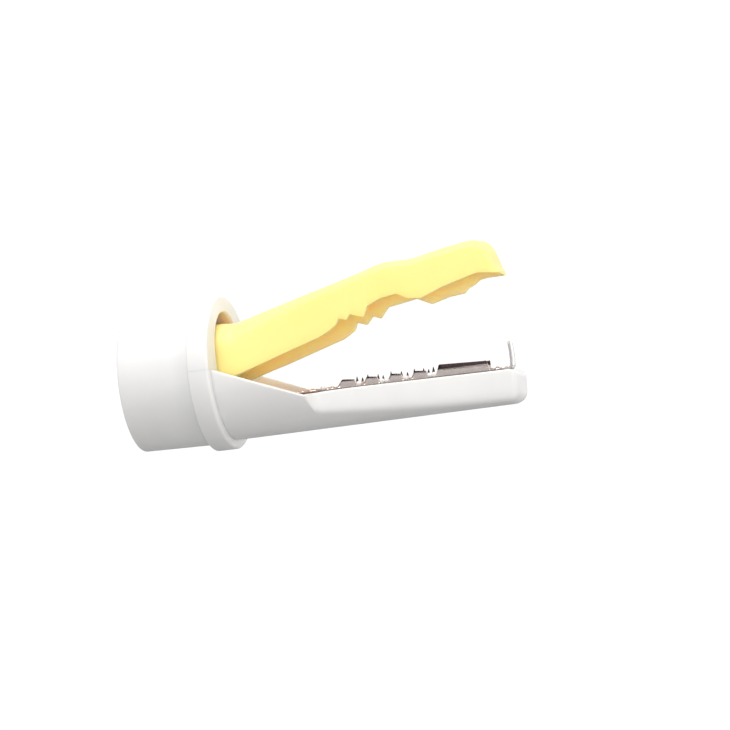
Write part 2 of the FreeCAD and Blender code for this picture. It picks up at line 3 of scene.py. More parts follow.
import bmesh
import bpy
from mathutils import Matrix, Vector


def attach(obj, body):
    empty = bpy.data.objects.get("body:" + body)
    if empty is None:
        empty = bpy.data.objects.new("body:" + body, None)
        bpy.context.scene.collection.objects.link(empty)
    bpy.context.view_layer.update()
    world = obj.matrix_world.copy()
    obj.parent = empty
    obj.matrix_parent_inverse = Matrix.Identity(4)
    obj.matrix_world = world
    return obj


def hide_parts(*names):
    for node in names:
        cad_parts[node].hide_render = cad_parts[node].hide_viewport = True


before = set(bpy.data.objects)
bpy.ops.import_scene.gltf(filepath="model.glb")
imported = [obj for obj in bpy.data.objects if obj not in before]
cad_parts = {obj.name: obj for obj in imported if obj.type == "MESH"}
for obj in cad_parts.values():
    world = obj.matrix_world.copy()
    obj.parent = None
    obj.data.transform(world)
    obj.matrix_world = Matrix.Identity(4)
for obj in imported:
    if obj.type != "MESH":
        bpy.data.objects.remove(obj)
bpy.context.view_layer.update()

# The head of a wire-twisting tool. Its axis is +X, and both jaws point along it.
# Shapes are worked out in millimetres and scaled to metres when a mesh is made.
# A "place" is a distance along +X from the collar's front face. "Near" is the -Y side, "far" the +Y side.
MM = 0.001

# ---------------------------------------------------------------- sizes: housing
FACE = 17.0  # x of the collar's front face
COLLAR_BACK = 13.2
COLLAR_R = 13.5
COLLAR_DEPTH = FACE - COLLAR_BACK
BACK_EDGE = 0.18  # rounding of the collar's edges
FRONT_EDGE = 0.5
PARTING = 0.2  # z of the plane between the lower jaw's moulding and the collar cap
GROOVE = 0.03  # depth of the fine groove along the parting
GROOVE_ANGLE = 0.2  # degrees
SPIGOT_R = 10.85
SPIGOT_BACK = 6.3
CHEEK_HALF = 7.1
HOLLOW_FLOOR = -8.2  # z of the floor under the upper jaw
SPRING_ROOM = 8.5  # x where the deep room for the spring starts
SPRING_FLOOR = -3.4  # z of the spigot's floor behind it
SLOT_HALF = 7.65  # the collar's arched slot
SLOT_FLARE = 0.7  # share of the front edge's rounding that widens the slot
ARCH_Z = 2.9  # z of the centre of the slot's round top
PIVOT = (9.0, 0.2)  # x and z of the upper jaw's pin

TUBE_BACK_R = 12.1
TUBE_FRONT_R = 12.35
TUBE_BORE = 10.95
RIB_R = 10.2
RIB = (5.4, 6.2)  # x of the inner rib's two faces
SEAT_R = 10.8  # the bulkhead's seat
SOCKET_R = 11.0  # the handle's socket
SOCKET_DEPTH = 4.0

# ---------------------------------------------------------------- sizes: lower jaw
JAW_R = 12.0
JAW_WALL = 1.15
JAW_LENGTH = 52.25
SHOULDER = 15.5  # place where the sloped shoulder ends
SOLE_RISE = 0.5  # the underside rises by this much
SOLE_RUN = 56.8  # over this length, from the collar's back
SOLE_ROUND = 1.9  # rounding of the underside at the tip
TIP_ROUND = 1.3  # rounding of the tip in plan
RIM = -5.56  # z of the upper edge
RIM_ROUND = 1.5  # rounding of the rim at the tip
ROOT_DROP = 0.42  # the rim is this much lower where it meets the shoulder
ROOT_FADE = 2.4  # and rises again over about this length
JAW_ROOT = 7.5  # half width of the trough behind
JAW_TIP = 4.0  # half width of the trough at the tip
ROUND_HALF = 12.6  # a half width that leaves the shoulder round
FLAT_START = SHOULDER - 1.0
FLAT_END = SHOULDER + 1.8
INNER_CREASE = 0.45  # softness of the bend between the flat sides and the round underside
OUTER_CREASE = 0.28  # the same on the outside, at the shoulder
CREASE_GROWTH = 0.024  # the outer bend grows rounder towards the tip, per millimetre
OUTER_EDGE = 0.28  # rounding of the rim's two edges
INNER_EDGE = 0.22
SIDE_STEPS = 54  # points up the outer side of a cross-section
RIM_STEPS = 10  # points round the rim's two edges
RAIL_INSET = 0.5  # the rail under the strip is this much narrower on each side
RAIL_EDGE = 0.15
RAIL_END = 50.6

# ---------------------------------------------------------------- sizes: upper jaw
LEVER_HALF = 7.2
LEVER_TAPER = 0.071
LEVER_WALL = 0.9
LEVER_TOP = 1.0
LEVER_TAIL = -10.4
LEVER_END = 50.7
LEVER_EDGE = 0.09  # rounding of the lower edges
NOSE_ROUND = 1.6
NOSE_WALL = 0.4
EAR_HALF = 6.6  # half width over the ears on the pin
EAR_RUN = 3.8  # the lever narrows to its ears over this length
EAR_EXTRA = 0.3  # the walls are thicker round the pin
LEVER_OUTER = 41  # points of the lever's cross-section on its outer side

TAIL_EDGE = -2.6  # z of the lower edge under the tail
TAIL_END = -7.6
EDGE_START = -5.0  # from here on, the lower edge follows a sloping line
EDGE_PLACE = 2.6  # place and z of a point of that line
EDGE_Z = -1.2
EDGE_SLOPE = 0.31

# The roof: place, z and radius of its rounded corners.
ROOF = [
    (LEVER_TAIL, 3.0, 2.2), (-7.0, 6.8, 3.0), (-3.8, 8.2, 4.4), (0.2, 8.4, 4.6), (2.8, 8.1, 4.6),
    (4.3, 8.45, 3.6), (15.8, 11.4, 1.9), (20.0, 12.45, 1.7), (25.8, 14.05, 1.6), (29.0, 15.05, 1.6),
    (30.7, 15.45, 1.6), (35.6, 15.5, 1.6), (40.6, 16.55, 1.6), (46.0, 17.45, 1.6), (47.4, 17.4, 1.6),
    (48.4, 16.8, 1.6), (49.2, 15.7, 1.6), (LEVER_END, 10.9, 1.2),
]
# The notched lower edges: place, and height over the sloping line.
NEAR_GRIP = [
    (4.0, 0.0), (18.5, 0.15), (20.0, 0.4), (21.5, 1.0), (22.0, 1.8), (23.4, 0.95), (24.05, 1.7), (25.0, 1.0),
    (26.4, 0.2), (26.9, 1.05), (27.25, 1.75), (29.7, 2.05), (32.6, 1.6), (34.5, 0.0), (36.8, -1.0),
    (40.6, -0.7), (47.0, -0.9), (50.8, -2.5), (52.1, -3.5),
]
FAR_GRIP = [
    (4.0, -0.1), (9.2, -0.35), (19.8, -0.55), (21.9, 0.05), (22.4, 1.15), (24.2, 0.0), (25.4, 0.95),
    (26.9, -0.05), (28.4, 1.25), (33.8, 0.45), (36.5, -1.65), (39.9, -1.85), (42.7, -2.45), (43.5, -1.9),
    (44.7, -1.8), (45.7, -1.4), (47.0, -1.6), (50.3, -2.6), (52.1, -3.5),
]

# ---------------------------------------------------------------- sizes: metal strip
SHEET = 0.4
STRIP_START = 13.0
STRIP_HALF = 4.5
STRIP_TAPER = 0.056
STRIP_UNDER = RIM + 0.02  # the strip lies just clear of the rail
STRIP_TOP = STRIP_UNDER + SHEET
STRIP_BEND = 0.24
STRIP_EDGE = 0.07
STRIP_END = 49.4
LIP = 0.35  # height of the near row's lip, away from the long land
LIP_LEAN = 0.55  # the lip leans out by this share of its height
FAR_LIP = 0.3
TUCK = 0.12  # an upright side stands in by this much over its bend
NEAR_GULLET = 0.62  # heights over the rim
FAR_GULLET = 0.6
SPIKE_FOOT = 0.8
FAR_LAND = 2.4

# The near row's teeth: places where a crest starts and ends, its lead's length, its height and its fall.
LANDS = [
    (21.5, 23.2, 1.3, 1.65, 0.16), (25.8, 27.2, 0.95, 1.65, 0.16), (30.1, 31.5, 0.95, 1.65, 0.16),
    (34.3, 36.0, 0.95, 1.65, 0.16), (38.7, 46.8, 0.95, 2.25, 0.3),
]
LONG_START, LONG_STOP = LANDS[-1][:2]
# The far row's pointed teeth: place and height.
SPIKES = [
    (20.6, 2.0), (21.7, 2.35), (22.7, 2.1), (23.7, 2.5), (25.6, 2.3), (26.5, 2.0), (28.0, 2.5), (28.9, 2.0),
    (29.9, 2.35), (31.0, 2.0), (32.3, 2.5), (34.0, 2.35), (34.9, 2.1), (35.8, 2.45), (36.9, 1.6),
]
DIMPLES = [17.6, 23.95, 28.05, 28.95, 32.4, 36.6, 37.4]
DIMPLE_RISE = 0.62
DIMPLE_R = 0.46
RIVETS = [17.0, 28.6, 44.0]

PRONG_START = 48.6
PRONG_BEND = 50.1
PRONG_HEIGHT = 5.0
PRONG_ROUND = 0.62
PRONG_HALF = 1.5  # half width at the bend
PRONG_SHEET = 0.19  # half the thickness
PRONG_EDGE = 0.06

# ---------------------------------------------------------------- sizes: screws and spring
SCREW_Y = 8.5
SCREW_Z = 2.7  # above and below the parting
# The cross recess: x, reach and half width of its arms. The head and shank: x and radius.
SCREW_RECESS = [(4.45, 0.35, 0.12), (4.06, 0.85, 0.2), (4.02, 0.9, 0.24)]
SCREW_BODY = [(4.03, 1.1), (4.1, 1.32), (4.25, 1.39), (4.7, 1.39), (4.7, 0.75), (11.2, 0.72)]

COIL_R = 2.4
COIL_PITCH = 0.9
COIL_TURNS = 7
COIL_STEPS = 336
WIRE_R = 0.3
LEG_R = 0.29


# ---------------------------------------------------------------- small helpers
def lerp(table, x, column=1):
    """A column of a table, read at x between its rows."""
    if x <= table[0][0]:
        return table[0][column]
    for a, b in zip(table, table[1:]):
        if x <= b[0]:
            t = (x - a[0]) / (b[0] - a[0])
            return a[column] + t * (b[column] - a[column])
    return table[-1][column]


def softened(table, x, reach, column=1):
    """The table's value at x, averaged over a reach, so that its corners are rounded."""
    steps = 6
    total = weight = 0.0
    for i in range(-steps, steps + 1):
        share = 1.0 - abs(i) / (steps + 1)
        total += share * lerp(table, x + reach * i / steps, column)
        weight += share
    return total / weight


def smooth(t):
    """A soft step from 0 to 1."""
    t = min(max(t, 0.0), 1.0)
    return t * t * (3 - 2 * t)


def soft_min(a, b, softness):
    low = min(a, b)
    return low - softness * math.log(math.exp(-(a - low) / softness) + math.exp(-(b - low) / softness))


def round_off(run, radius):
    """What a quarter round takes off, at a distance past the point where it starts."""
    run = min(max(run, 0.0), radius)
    return radius - math.sqrt(radius**2 - run**2)


def stations(start, end, step):
    """Even steps from start to end, close to a step's length."""
    count = max(1, round((end - start) / step))
    return [start + (end - start) * i / count for i in range(count + 1)]


def arc(cy, cz, radius, start, end, count):
    """Points of an arc in a cross-section, angles in degrees from +Y towards +Z."""
    angles = (math.radians(start + (end - start) * i / count) for i in range(count + 1))
    return [(cy + radius * math.cos(a), cz + radius * math.sin(a)) for a in angles]


def between(a, b, count):
    """Evenly spaced points between two points, without the two themselves."""
    return [tuple(p + (q - p) * k / (count + 1) for p, q in zip(a, b)) for k in range(1, count + 1)]


def mirrored(points):
    return [(-y, z) for y, z in points]


def at(x, outline):
    """A cross-section's outline of (y, z) as 3D points."""
    return [(x, y, z) for y, z in outline]


def resample(points, count):
    """The same line with evenly spaced points."""
    lengths = [0.0]
    for a, b in zip(points, points[1:]):
        lengths.append(lengths[-1] + math.dist(a, b))
    made = []
    k = 0
    for i in range(count + 1):
        reach = lengths[-1] * i / count
        while k < len(points) - 2 and lengths[k + 1] < reach:
            k += 1
        run = lengths[k + 1] - lengths[k]
        t = 0.0 if run < 1e-9 else (reach - lengths[k]) / run
        made.append(tuple(p + (q - p) * t for p, q in zip(points[k], points[k + 1])))
    return made


def rounded(corners):
    """A closed outline with a fillet at each corner (y, z, radius, segments)."""
    made = []
    for i, (y, z, radius, segments) in enumerate(corners):
        if radius <= 0:
            made.append((y, z))
            continue
        corner = Vector((y, z))
        back = Vector(corners[i - 1][:2]) - corner
        ahead = Vector(corners[(i + 1) % len(corners)][:2]) - corner
        half = back.normalized().angle(ahead.normalized()) / 2
        reach = min(radius / math.tan(half), 0.49 * back.length, 0.49 * ahead.length)
        start, end = corner + back.normalized() * reach, corner + ahead.normalized() * reach
        for k in range(segments + 1):
            # a conic through both tangent points, close to a circular fillet
            t = k / segments
            weights = (1 - t) ** 2, 2 * math.sin(half) * t * (1 - t), t**2
            made.append(tuple((start * weights[0] + corner * weights[1] + end * weights[2]) / sum(weights)))
    return made


def loft(verts, faces, rings, closed=False):
    """Skin a list of rings of 3D points, and cap the ends unless the last ring joins the first."""
    base, n = len(verts), len(rings[0])
    for ring in rings:
        verts.extend(ring)
    rows = len(rings) if closed else len(rings) - 1
    for i in range(rows):
        here, there = base + i * n, base + (i + 1) % len(rings) * n
        for j in range(n):
            k = (j + 1) % n
            faces.append((here + j, here + k, there + k, there + j))
    if not closed:
        last = base + (len(rings) - 1) * n
        faces.append(tuple(base + j for j in range(n - 1, -1, -1)))
        faces.append(tuple(last + j for j in range(n)))


def turned(verts, faces, profile, segments, centre=(0.0, 0.0), axis="X"):
    """Turn a closed outline of (distance along the axis, radius) about an axis through the centre."""
    rings = []
    for i in range(segments):
        a = 2 * math.pi * i / segments
        ring = []
        for along, radius in profile:
            point = [centre[0] + radius * math.cos(a), centre[1] + radius * math.sin(a)]
            point.insert("XYZ".index(axis), along)
            ring.append(tuple(point))
        rings.append(ring)
    loft(verts, faces, rings, closed=True)


def piece(name, verts, faces, material, body, node=None, angle=32.0, inside=None):
    """Make an object of a mesh in millimetres, give it a finish and let it ride on a body.

    inside: a second material and the numbers of the faces that have it.
    """
    mesh = bpy.data.meshes.new(name)
    mesh.from_pydata([(x * MM, y * MM, z * MM) for x, y, z in verts], [], faces)
    mesh.materials.append(material)
    if inside:
        second, numbers = inside
        mesh.materials.append(second)
        for number in numbers:
            mesh.polygons[number].material_index = 1
    bm = bmesh.new()
    bm.from_mesh(mesh)
    bmesh.ops.remove_doubles(bm, verts=bm.verts, dist=2e-7)
    bmesh.ops.dissolve_degenerate(bm, dist=1e-7, edges=bm.edges)
    bmesh.ops.recalc_face_normals(bm, faces=bm.faces)
    bm.to_mesh(mesh)
    bm.free()
    mesh.polygons.foreach_set("use_smooth", [True] * len(mesh.polygons))
    mesh.set_sharp_from_angle(angle=math.radians(angle))
    obj = bpy.data.objects.new(name, mesh)
    bpy.context.scene.collection.objects.link(obj)
    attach(obj, body)
    if node:
        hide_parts(node)


# ---------------------------------------------------------------- materials
class Nodes:
    """Short calls for a material's node tree."""

    def __init__(self, name):
        self.material = bpy.data.materials.new(name)
        self.material.use_nodes = True
        self.tree = self.material.node_tree
        self.tree.nodes.clear()
        self.shader = self.add("ShaderNodeBsdfPrincipled")
        self.link(self.shader.outputs[0], self.add("ShaderNodeOutputMaterial").inputs[0])
        self.place = self.add("ShaderNodeTexCoord").outputs["Object"]

    def add(self, kind, **settings):
        made = self.tree.nodes.new(kind)
        for key, value in settings.items():
            setattr(made, key, value)
        return made

    def link(self, source, target):
        self.tree.links.new(source, target)

    def along(self, direction):
        """The place along one direction."""
        made = self.add("ShaderNodeSeparateXYZ")
        self.link(self.place, made.inputs[0])
        return made.outputs[direction]

    def stretched(self, scale):
        """The place, scaled along each direction, so that a noise made with it is stretched."""
        made = self.add("ShaderNodeMapping")
        made.inputs["Scale"].default_value = scale
        self.link(self.place, made.inputs["Vector"])
        return made.outputs[0]

    def noise(self, size, detail=3.0, roughness=0.55, vector=None, distortion=0.0):
        """Noise with features of a size in millimetres."""
        made = self.add("ShaderNodeTexNoise")
        made.inputs["Scale"].default_value = 1.0 / (size * MM)
        made.inputs["Detail"].default_value = detail
        made.inputs["Roughness"].default_value = roughness
        made.inputs["Distortion"].default_value = distortion
        self.link(vector or self.place, made.inputs["Vector"])
        return made.outputs["Fac"]

    def ramp(self, source, low, dark, high, light):
        """From a dark colour at one value of the source to a light one at another."""
        made = self.add("ShaderNodeValToRGB")
        for element, (place, colour) in zip(made.color_ramp.elements, ((low, dark), (high, light))):
            element.position = place
            element.color = (*colour, 1.0)
        self.link(source, made.inputs["Fac"])
        return made.outputs["Color"]

    def span(self, source, low, high, from_low=0.3, from_high=0.7):
        """The source, brought from one span of values to another."""
        made = self.add("ShaderNodeMapRange")
        made.inputs["From Min"].default_value = from_low
        made.inputs["From Max"].default_value = from_high
        made.inputs["To Min"].default_value = low
        made.inputs["To Max"].default_value = high
        self.link(source, made.inputs["Value"])
        return made.outputs[0]

    def math(self, operation, *sources):
        made = self.add("ShaderNodeMath", operation=operation)
        for source, socket in zip(sources, made.inputs):
            self.link(source, socket)
        return made.outputs[0]

    def mix(self, factor, under, over):
        """Lay a plain colour over another colour. Inputs 6 and 7 are the node's two colours."""
        made = self.add("ShaderNodeMix", data_type="RGBA")
        self.link(factor, made.inputs["Factor"])
        self.link(under, made.inputs[6])
        made.inputs[7].default_value = (*over, 1.0)
        return made.outputs[2]

    def bump(self, height, strength, distance, under=None):
        """A bump of a height in millimetres, over another one."""
        made = self.add("ShaderNodeBump")
        made.inputs["Strength"].default_value = strength
        made.inputs["Distance"].default_value = distance * MM
        self.link(height, made.inputs["Height"])
        if under:
            self.link(under, made.inputs["Normal"])
        return made.outputs[0]

    def set(self, **values):
        """Set or link the shader's inputs. An underscore stands for the space in an input's name."""
        for key, value in values.items():
            socket = self.shader.inputs[key.replace("_", " ")]
            if isinstance(value, bpy.types.NodeSocket):
                self.link(value, socket)
            else:
                socket.default_value = value


def moulded_plastic(name, light, dark, tint, scatter, weight, rough=(0.34, 0.46)):
    """Injection-moulded plastic: slow mottling, a fine eroded grain and faint flow streaks."""
    n = Nodes(name)
    colour = n.ramp(n.noise(9.0), 0.3, dark, 0.7, light)
    colour = n.mix(n.span(n.noise(0.5, 4.0), 0.0, 0.22), colour, tint)
    streaks = n.noise(1.6, 4.0, vector=n.stretched((0.12, 1.0, 1.0)), distortion=0.3)
    colour = n.mix(n.span(streaks, 0.0, 0.16), colour, dark)
    sink = n.bump(n.noise(5.0, 2.0), 0.25, 0.05)
    n.set(
        Base_Color=colour,
        Roughness=n.span(n.noise(0.8, 4.0), *rough),
        Normal=n.bump(n.noise(0.11, 3.0, 0.6), 0.05, 0.02, sink),
        IOR=1.47,
        Subsurface_Weight=weight,
        Subsurface_Radius=scatter,
        Subsurface_Scale=MM,
    )
    return n.material


def sheet_metal(name, light, dark, rough, stretch, bands=(), margin=None, shine=1.0):
    """Rolled or drawn metal with fine lines along one direction and soft patches.

    bands: (z where it starts, z where it is full, colour), which stand for reflections in the photo.
    margin: colour of the prong's two side margins, which stand for reflections too.
    """
    n = Nodes(name)
    lines = n.noise(0.16, 5.0, 0.6, vector=n.stretched(stretch))
    colour = n.ramp(n.noise(1.8, 4.0, 0.6), 0.32, dark, 0.68, light)
    colour = n.mix(n.span(lines, 0.0, 0.3), colour, dark)
    for start, full, shade in bands:
        colour = n.mix(n.span(n.along("Z"), 0.0, 1.0, start * MM, full * MM), colour, shade)
    if margin:
        # the dimples are of the same metal, and lie beyond the margin's outer limit
        away = n.math("ABSOLUTE", n.along("Y"))
        begins = n.span(away, 0.0, 1.0, 0.55 * MM, 0.8 * MM)
        ends = n.span(away, 1.0, 0.0, 1.6 * MM, 1.9 * MM)
        colour = n.mix(n.math("MULTIPLY", begins, ends), colour, margin)
    n.set(
        Base_Color=colour,
        Metallic=shine,
        Roughness=n.span(lines, *rough),
        Normal=n.bump(n.noise(0.6, 2.0), 0.12, 0.02, n.bump(lines, 0.05, 0.01)),
    )
    return n.material


def rubber(name, light, dark):
    n = Nodes(name)
    n.set(
        Base_Color=n.ramp(n.noise(1.2, 4.0), 0.3, dark, 0.7, light),
        Roughness=n.span(n.noise(0.4, 3.0), 0.7, 0.9),
        Normal=n.bump(n.noise(0.15, 4.0), 0.4, 0.02),
    )
    return n.material


def paper(name, light, dark):
    n = Nodes(name)
    n.set(Base_Color=n.ramp(n.noise(40.0), 0.3, dark, 0.7, light), Roughness=0.9)
    return n.material


WHITE = moulded_plastic(
    "white_plastic", (0.755, 0.757, 0.755), (0.72, 0.722, 0.72), (0.765, 0.757, 0.745),
    (1.6, 1.4, 1.25), 0.2)
# A warm copy of the white plastic for the shoulder's inner faces: its warm tint is painted bounce light from
# the yellow lever.
WHITE_PAINTED_BOUNCE = moulded_plastic(
    "white_plastic_painted_bounce", (0.78, 0.70, 0.66), (0.74, 0.66, 0.62), (0.79, 0.71, 0.66), (2.0, 1.6, 1.3), 0.4,
    rough=(0.5, 0.62))
# A warmer copy of the white plastic for the faces of the collar's slot: its tan tint is painted bounce light
# from the yellow lever.
ARCH_WHITE_PAINTED_BOUNCE = moulded_plastic(
    "white_plastic_arch_painted_bounce", (0.93, 0.79, 0.72), (0.89, 0.75, 0.68), (0.94, 0.80, 0.72), (2.4, 1.7, 1.3), 0.6,
    rough=(0.5, 0.62))
YELLOW = moulded_plastic(
    "yellow_plastic", (0.99, 0.815, 0.31), (0.98, 0.79, 0.28), (0.995, 0.83, 0.34), (1.3, 1.1, 0.55), 0.4,
    rough=(0.38, 0.5))
# A copy of the yellow plastic for the lever's inner faces, with a tone and a wider scattering of its own: a
# painted orange glow of light that shines through the walls and bounces inside.
YELLOW_PAINTED_GLOW = moulded_plastic(
    "yellow_plastic_painted_glow", (1.0, 0.75, 0.42), (1.0, 0.71, 0.36), (1.0, 0.78, 0.47), (4.0, 2.1, 0.8), 0.9,
    rough=(0.5, 0.62))
DARK_BUSH = moulded_plastic(
    "bush_plastic", (0.05, 0.05, 0.055), (0.03, 0.03, 0.032), (0.07, 0.07, 0.075), (0.2, 0.2, 0.2), 0.0)
GREY_NYLON = moulded_plastic(
    "sleeve_plastic", (0.30, 0.30, 0.30), (0.22, 0.22, 0.22), (0.35, 0.35, 0.34), (0.4, 0.4, 0.4), 0.05)
BRIGHT = sheet_metal(
    "bright_steel", (1.0, 0.91, 0.87), (0.90, 0.79, 0.75), (0.24, 0.34), (0.06, 1.0, 1.0),
    bands=[(RIM + 0.3, RIM + 0.12, (0.42, 0.30, 0.29)), (RIM + 1.25, RIM + 1.5, (0.10, 0.07, 0.08))])
# A near-white, partly matt copy of the steel for the prong and the dimples: its whiteness is a painted
# glint, and its grey margins are painted reflections.
PAINTED_GLINT_STEEL = sheet_metal(
    "steel_painted_glint", (0.99, 0.98, 0.97), (0.93, 0.91, 0.90), (0.1, 0.2), (0.3, 1.0, 1.0),
    margin=(0.52, 0.50, 0.51), shine=0.45)
STEEL = sheet_metal("steel", (0.62, 0.62, 0.63), (0.45, 0.45, 0.47), (0.25, 0.42), (1.0, 0.1, 1.0))
RUBBER = rubber("pad_rubber", (0.045, 0.045, 0.048), (0.02, 0.02, 0.022))
FLOOR_PAPER = paper("floor_paper", (0.34, 0.34, 0.342), (0.31, 0.31, 0.312))


# ---------------------------------------------------------------- housing tube
def body_tube():
    outline = rounded([
        (0.0, TUBE_BACK_R, 0.35, 4), (COLLAR_BACK, TUBE_FRONT_R, 0.12, 3), (COLLAR_BACK, TUBE_BORE, 0.15, 2),
        (RIB[1], TUBE_BORE, 0.1, 2), (RIB[1], RIB_R, 0.12, 2), (RIB[0], RIB_R, 0.12, 2),
        (RIB[0], SEAT_R, 0, 0), (SOCKET_DEPTH, SEAT_R, 0, 0), (SOCKET_DEPTH, SOCKET_R, 0, 0),
        (0.0, SOCKET_R, 0.2, 3),
    ])
    verts, faces = [], []
    turned(verts, faces, outline, 192)
    piece("housing_tube", verts, faces, WHITE, "housing", "body_tube")


# ---------------------------------------------------------------- collar and spigot
def collar_steps():
    """x through the collar, what its rounded edges take off the radius, and how far the slot flares."""
    for i in range(5):
        a = math.pi / 2 * i / 4
        yield COLLAR_BACK + BACK_EDGE * (1 - math.cos(a)), BACK_EDGE * (1 - math.sin(a)), 0.0
    for i in range(9):
        a = math.pi / 2 * i / 8
        loss = FRONT_EDGE * (1 - math.cos(a))
        yield FACE - FRONT_EDGE * (1 - math.sin(a)), loss, SLOT_FLARE * loss


def parting_angle(radius):
    """Degrees from +Y up to the parting, on a circle of a radius."""
    return math.degrees(math.asin(PARTING / radius))


def lower_collar_section(x, radius):
    start = parting_angle(radius) - GROOVE_ANGLE
    reach = math.sqrt(radius**2 - PARTING**2) - GROOVE
    edge = 0.07
    slot = [(SLOT_HALF, HOLLOW_FLOOR), (SLOT_HALF, PARTING - edge)]
    slot += [(SLOT_HALF + edge, PARTING), (reach, PARTING)]
    return at(x, arc(0, 0, radius, start, -180 - start, 90) + mirrored(slot[::-1]) + slot)


def cap_section(x, radius, flare):
    start = parting_angle(radius) + GROOVE_ANGLE
    reach = math.sqrt(radius**2 - PARTING**2) - GROOVE
    half = SLOT_HALF + flare
    edge = 0.08
    foot = PARTING + 0.01
    side = [(half, foot + edge), (half + edge, foot), (reach, foot)]
    arch = arc(0, ARCH_Z, half, 180, 0, 48)
    return at(x, arc(0, 0, radius, start, 180 - start, 90) + mirrored(side[::-1]) + arch + side)


def lower_spigot_section(x, floor):
    start = parting_angle(SPIGOT_R)
    hollow = [(-CHEEK_HALF, PARTING), (-CHEEK_HALF, floor), (CHEEK_HALF, floor), (CHEEK_HALF, PARTING)]
    return at(x, arc(0, 0, SPIGOT_R, start, -180 - start, 64) + hollow)


def upper_cheek_section(x, side):
    start = parting_angle(SPIGOT_R) + 0.1
    end = math.degrees(math.acos(CHEEK_HALF / SPIGOT_R))
    outline = [(CHEEK_HALF, PARTING + 0.02)] + arc(0, 0, SPIGOT_R, start, end, 18)
    return at(x, [(side * y, z) for y, z in outline])


def collar_cap():
    verts, faces = [], []
    rings = [cap_section(x, COLLAR_R - loss, flare) for x, loss, flare in collar_steps()]
    loft(verts, faces, rings)
    count = len(rings[0])
    slot_start = 92  # past the outer arc and the parting's near edge
    straight_rows = 7  # rows behind the front edge's rounding
    # The slot's faces take the warmer copy, whose tint is painted bounce light.
    slot = [row * count + k for row in range(straight_rows) for k in range(slot_start, count - 1)]
    for side in (-1, 1):
        loft(verts, faces, [upper_cheek_section(x, side) for x in (SPIGOT_BACK, COLLAR_BACK + 0.1)])
    piece("collar_arch", verts, faces, WHITE, "housing", "collar_cap",
          inside=(ARCH_WHITE_PAINTED_BOUNCE, slot))


# ---------------------------------------------------------------- lower jaw
def jaw_radius(place):
    """Radius of the round underside."""
    return JAW_R - SOLE_RISE * (place + COLLAR_DEPTH) / SOLE_RUN


def jaw_half(place):
    """Half width between the flat sides, very wide on the shoulder so that it stays round there."""
    round_start = JAW_LENGTH - TIP_ROUND
    taper = min(max(place - FLAT_END, 0.0) / (round_start - FLAT_END), 1.0)
    flat = JAW_ROOT + (JAW_TIP - JAW_ROOT) * taper - round_off(place - round_start, TIP_ROUND)
    blend = smooth((place - FLAT_START) / (FLAT_END - FLAT_START))
    return (1 - blend) * ROUND_HALF + blend * flat


def rim_height(place):
    if place < SHOULDER:
        return PARTING + (RIM - ROOT_DROP - PARTING) * place / SHOULDER
    root = ROOT_DROP * math.exp((SHOULDER - place) / ROOT_FADE)
    return RIM - root - round_off(place - (JAW_LENGTH - RIM_ROUND), RIM_ROUND)


def flat_sided(angle, radius, half, crease):
    """Reach of a circle cut by two flat sides, at an angle from straight down."""
    return soft_min(radius, half / max(math.sin(angle), 1e-6), crease)


def jaw_side(radius, half, top, count, crease):
    """Points from the bottom centre up the right side to a height."""
    low, high = 0.0, math.radians(120)
    for _ in range(40):
        middle = (low + high) / 2
        if -flat_sided(middle, radius, half, crease) * math.cos(middle) < top:
            low = middle
        else:
            high = middle
    side = []
    for i in range(count + 1):
        angle = high * i / count
        reach = flat_sided(angle, radius, half, crease)
        side.append((reach * math.sin(angle), -reach * math.cos(angle)))
    return side


def trough_floor(radius, half, y):
    angle = math.asin(min(max(y / radius, 0.0), 1.0))
    return -flat_sided(angle, radius, half, INNER_CREASE) * math.cos(angle)


def jaw_outside(place, top):
    """The outer side, from the bottom centre over the rim's outer edge."""
    radius = jaw_radius(place) - round_off(place - (JAW_LENGTH - SOLE_ROUND), SOLE_ROUND)
    crease = OUTER_CREASE + CREASE_GROWTH * max(place - SHOULDER, 0.0)
    side = jaw_side(radius, jaw_half(place), top - OUTER_EDGE, SIDE_STEPS, crease)
    return side[:-1] + arc(side[-1][0] - OUTER_EDGE, top - OUTER_EDGE, OUTER_EDGE, 0, 90, 5)


def jaw_inside(place, top, rail):
    """The trough, from the rim's inner edge to the centre line, over its floor or over the strip's rail."""
    radius = jaw_radius(place) - JAW_WALL
    half = jaw_half(min(place, JAW_LENGTH - TIP_ROUND)) - JAW_WALL
    rail_half = strip_half(place) - RAIL_INSET
    side = jaw_side(radius, half, top - INNER_EDGE, 34, INNER_CREASE)
    upper = (side[-1][0], top - INNER_EDGE)
    foot = (rail_half, trough_floor(radius, half, rail_half))
    line = arc(upper[0] + INNER_EDGE, upper[1], INNER_EDGE, 90, 180, 4)[:-1]
    line += resample([upper] + [p for p in reversed(side[:-1]) if p[0] > rail_half] + [foot], 26)
    if rail:
        edge = arc(rail_half - RAIL_EDGE, RIM - RAIL_EDGE, RAIL_EDGE, 0, 90, 3)
        return line + between(foot, edge[0], 2) + edge + between(edge[-1], (0.0, RIM), 7) + [(0.0, RIM)]
    line += [line[-1]] * 6
    return line + [(y, trough_floor(radius, half, y)) for y in stations(rail_half, 0.0, -rail_half / 8)[1:]]


def jaw_ring(place, rail=True, hollow=True):
    """Closed cross-section of the shoulder, the trough or the tip's end wall."""
    top = rim_height(place)
    right = jaw_outside(place, top)
    inside = jaw_inside(place, top, rail)
    if not hollow:
        limit = right[-1][0]
        inside = [(limit, top)] + [(min(y, limit), top) for y, z in inside[1:]]
    outline = right + inside
    return at(FACE + place, outline + mirrored(outline[-2:0:-1]))


